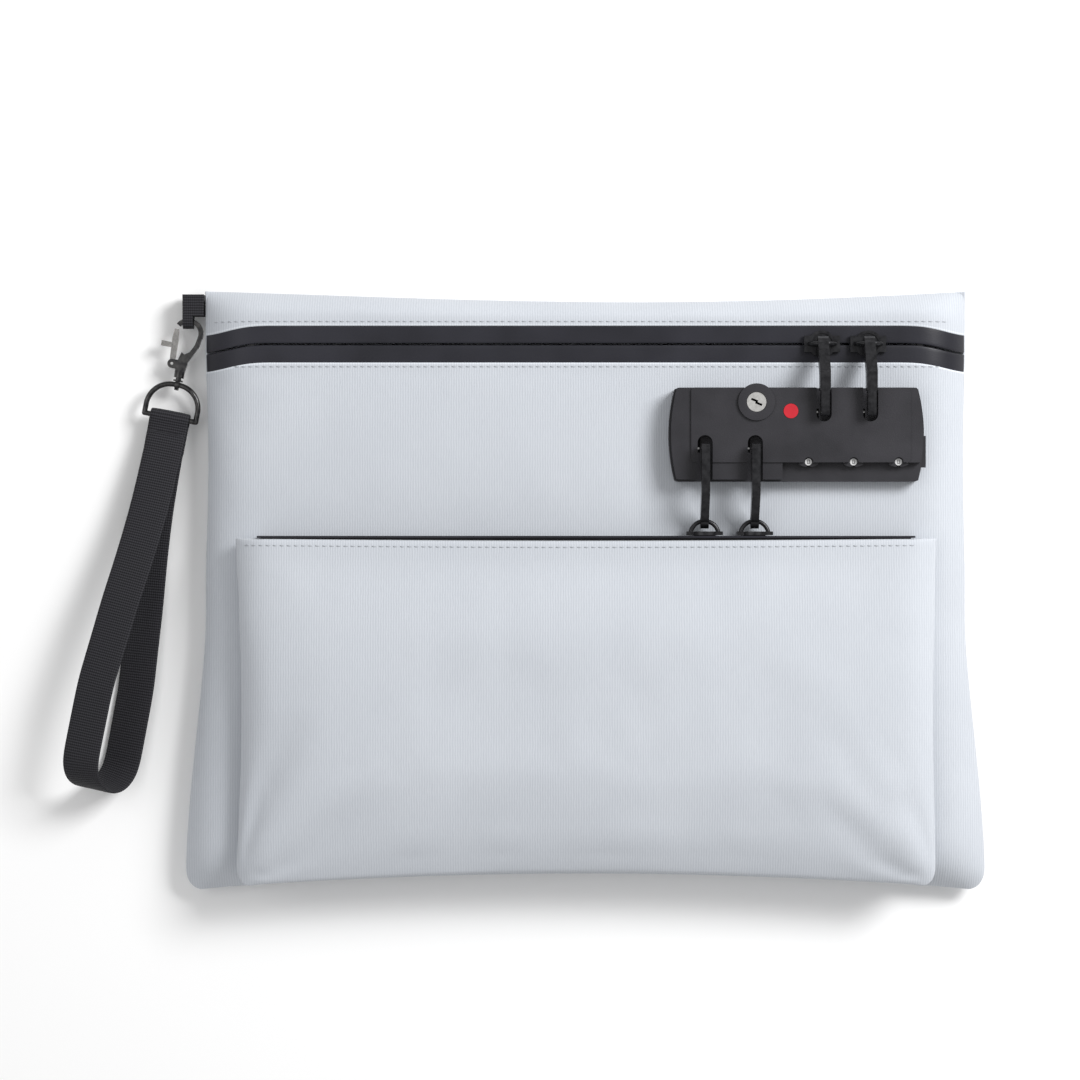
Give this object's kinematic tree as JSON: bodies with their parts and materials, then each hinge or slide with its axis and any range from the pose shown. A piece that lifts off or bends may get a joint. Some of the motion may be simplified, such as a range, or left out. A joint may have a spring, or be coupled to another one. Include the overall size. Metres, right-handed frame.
{
  "type": "lockable cash deposit bag",
  "caption": "Flat zipped cloth cash bag with a front zip pocket, a combination and key lock that holds the zip pulls, and a wrist strap on a side clasp.",
  "frame": {"origin": "centre of the back panel's resting face", "axes": "+X along the bag's width, +Y to the zipped top edge, +Z out of the front face"},
  "size_m": [0.3835, 0.2498, 0.0376],
  "materials": {
    "cloth": "fine ribbed blue-grey coated polyester",
    "lining": "thin grey lining cloth",
    "zip_tape": "black coated zip tape",
    "zip_coil": "black nylon coil",
    "zip_metal": "black lacquered zinc",
    "steel": "plain steel",
    "lock_plastic": "fine-grained dark grey plastic",
    "red_lens": "glossy red plastic",
    "gunmetal": "dark plated zinc",
    "bright_metal": "satin nickel",
    "webbing": "black ribbed webbing"
  },
  "bodies": {
    "bag": {"back_panel": "cloth", "front_panel": "cloth", "top_band": "cloth", "lining": "lining", "pocket_back": "cloth", "pocket_front": "cloth", "main_tape_upper": "zip_tape", "main_tape_lower": "zip_tape", "main_coil_upper": "zip_coil", "main_coil_lower": "zip_coil", "main_zip_stops": "zip_metal", "pocket_tape_back": "zip_tape", "pocket_tape_front": "zip_tape", "pocket_coil_back": "zip_coil", "pocket_coil_front": "zip_coil", "pocket_zip_stops": "zip_metal", "lock_base": "lock_plastic", "lock_cover": "lock_plastic", "lock_back_plate": "steel", "lock_screws": "steel", "indicator_dot": "red_lens", "dial_posts": "steel", "dial_spring": "steel", "key_collar": "lock_plastic", "latch_guide": "lock_plastic", "side_tab": "webbing"},
    "main_slider_left": {"main_slider_left": "zip_metal"},
    "main_slider_right": {"main_slider_right": "zip_metal"},
    "pocket_slider_left": {"pocket_slider_left": "zip_metal"},
    "pocket_slider_right": {"pocket_slider_right": "zip_metal"},
    "main_pull_left": {"main_pull_left": "zip_metal"},
    "main_pull_right": {"main_pull_right": "zip_metal"},
    "pocket_pull_left": {"pocket_pull_left": "zip_metal"},
    "pocket_pull_right": {"pocket_pull_right": "zip_metal"},
    "dial_1": {"dial_1": "lock_plastic"},
    "dial_2": {"dial_2": "lock_plastic"},
    "dial_3": {"dial_3": "lock_plastic"},
    "key": {"key_cylinder": "bright_metal"},
    "latch": {"latch_bar": "steel", "release_button": "lock_plastic"},
    "clasp": {"clasp_hook": "gunmetal", "gate_pin": "steel", "gate_spring": "steel"},
    "gate": {"clasp_gate": "bright_metal"},
    "swivel": {"clasp_swivel": "gunmetal"},
    "ring": {"d_ring": "gunmetal"},
    "strap": {"strap_loop": "webbing"}
  },
  "joints": [
    {"name": "main_left_slide", "type": "slide", "parent": "bag", "child": "main_slider_left", "axis": [-1, 0, 0], "range_m": [0, 0.226]},
    {"name": "main_right_slide", "type": "slide", "parent": "bag", "child": "main_slider_right", "axis": [1, 0, 0], "range_m": [0, 0.012]},
    {"name": "pocket_left_slide", "type": "slide", "parent": "bag", "child": "pocket_slider_left", "axis": [-1, 0, 0], "range_m": [0, 0.171]},
    {"name": "pocket_right_slide", "type": "slide", "parent": "bag", "child": "pocket_slider_right", "axis": [1, 0, 0], "range_m": [0, 0.053]},
    {"name": "main_pull_left_swing", "type": "hinge", "parent": "main_slider_left", "child": "main_pull_left", "pos_m": [0.0976, 0.102, 0.0256], "axis": [-1, 0, 0], "range_deg": [-13.5, 115]},
    {"name": "main_pull_right_swing", "type": "hinge", "parent": "main_slider_right", "child": "main_pull_right", "pos_m": [0.1167, 0.102, 0.0256], "axis": [-1, 0, 0], "range_deg": [-13.5, 115]},
    {"name": "pocket_pull_left_swing", "type": "hinge", "parent": "pocket_slider_left", "child": "pocket_pull_left", "pos_m": [0.0488, 0.0286, 0.0256], "axis": [1, 0, 0], "range_deg": [-13, 66]},
    {"name": "pocket_pull_right_swing", "type": "hinge", "parent": "pocket_slider_right", "child": "pocket_pull_right", "pos_m": [0.0694, 0.0286, 0.0256], "axis": [1, 0, 0], "range_deg": [-13, 66]},
    {"name": "dial_1_turn", "type": "hinge", "parent": "bag", "child": "dial_1", "pos_m": [0.0913, 0.05915, 0.028], "axis": [0, 0, 1], "continuous": true},
    {"name": "dial_2_turn", "type": "hinge", "parent": "bag", "child": "dial_2", "pos_m": [0.1098, 0.05915, 0.028], "axis": [0, 0, 1], "continuous": true},
    {"name": "dial_3_turn", "type": "hinge", "parent": "bag", "child": "dial_3", "pos_m": [0.1283, 0.05915, 0.028], "axis": [0, 0, 1], "continuous": true},
    {"name": "key_turn", "type": "hinge", "parent": "bag", "child": "key", "pos_m": [0.0699, 0.0776, 0.028], "axis": [0, 0, -1], "range_deg": [0, 90]},
    {"name": "latch_slide", "type": "slide", "parent": "bag", "child": "latch", "axis": [1, 0, 0], "range_m": [0, 0.0024]},
    {"name": "clasp_lift", "type": "hinge", "parent": "bag", "child": "clasp", "pos_m": [-0.1642, 0.1127, 0.006], "axis": [-1, 0, 0], "range_deg": [0, 75]},
    {"name": "gate_open", "type": "hinge", "parent": "clasp", "child": "gate", "pos_m": [-0.17267, 0.09479, 0.006], "axis": [0, 0, -1], "range_deg": [0, 16], "stiffness_Nm_per_rad": 0.02, "springref_deg": -5.73},
    {"name": "swivel_turn", "type": "hinge", "parent": "clasp", "child": "swivel", "pos_m": [-0.16994, 0.08887, 0.006], "axis": [0.1891, 0.982, 0], "range_deg": [-60, 60]},
    {"name": "ring_tilt", "type": "hinge", "parent": "swivel", "child": "ring", "pos_m": [-0.17053, 0.08582, 0.006], "axis": [0.982, -0.1891, 0], "range_deg": [-15, 60]},
    {"name": "strap_tilt", "type": "hinge", "parent": "ring", "child": "strap", "pos_m": [-0.17355, 0.07225, 0.006], "axis": [0.982, -0.1891, 0], "range_deg": [-60, 0.5]}
  ],
  "couplings": [
    {"joint": "key_turn", "follows": "latch_slide", "rad_per_m": 654.4}
  ]
}
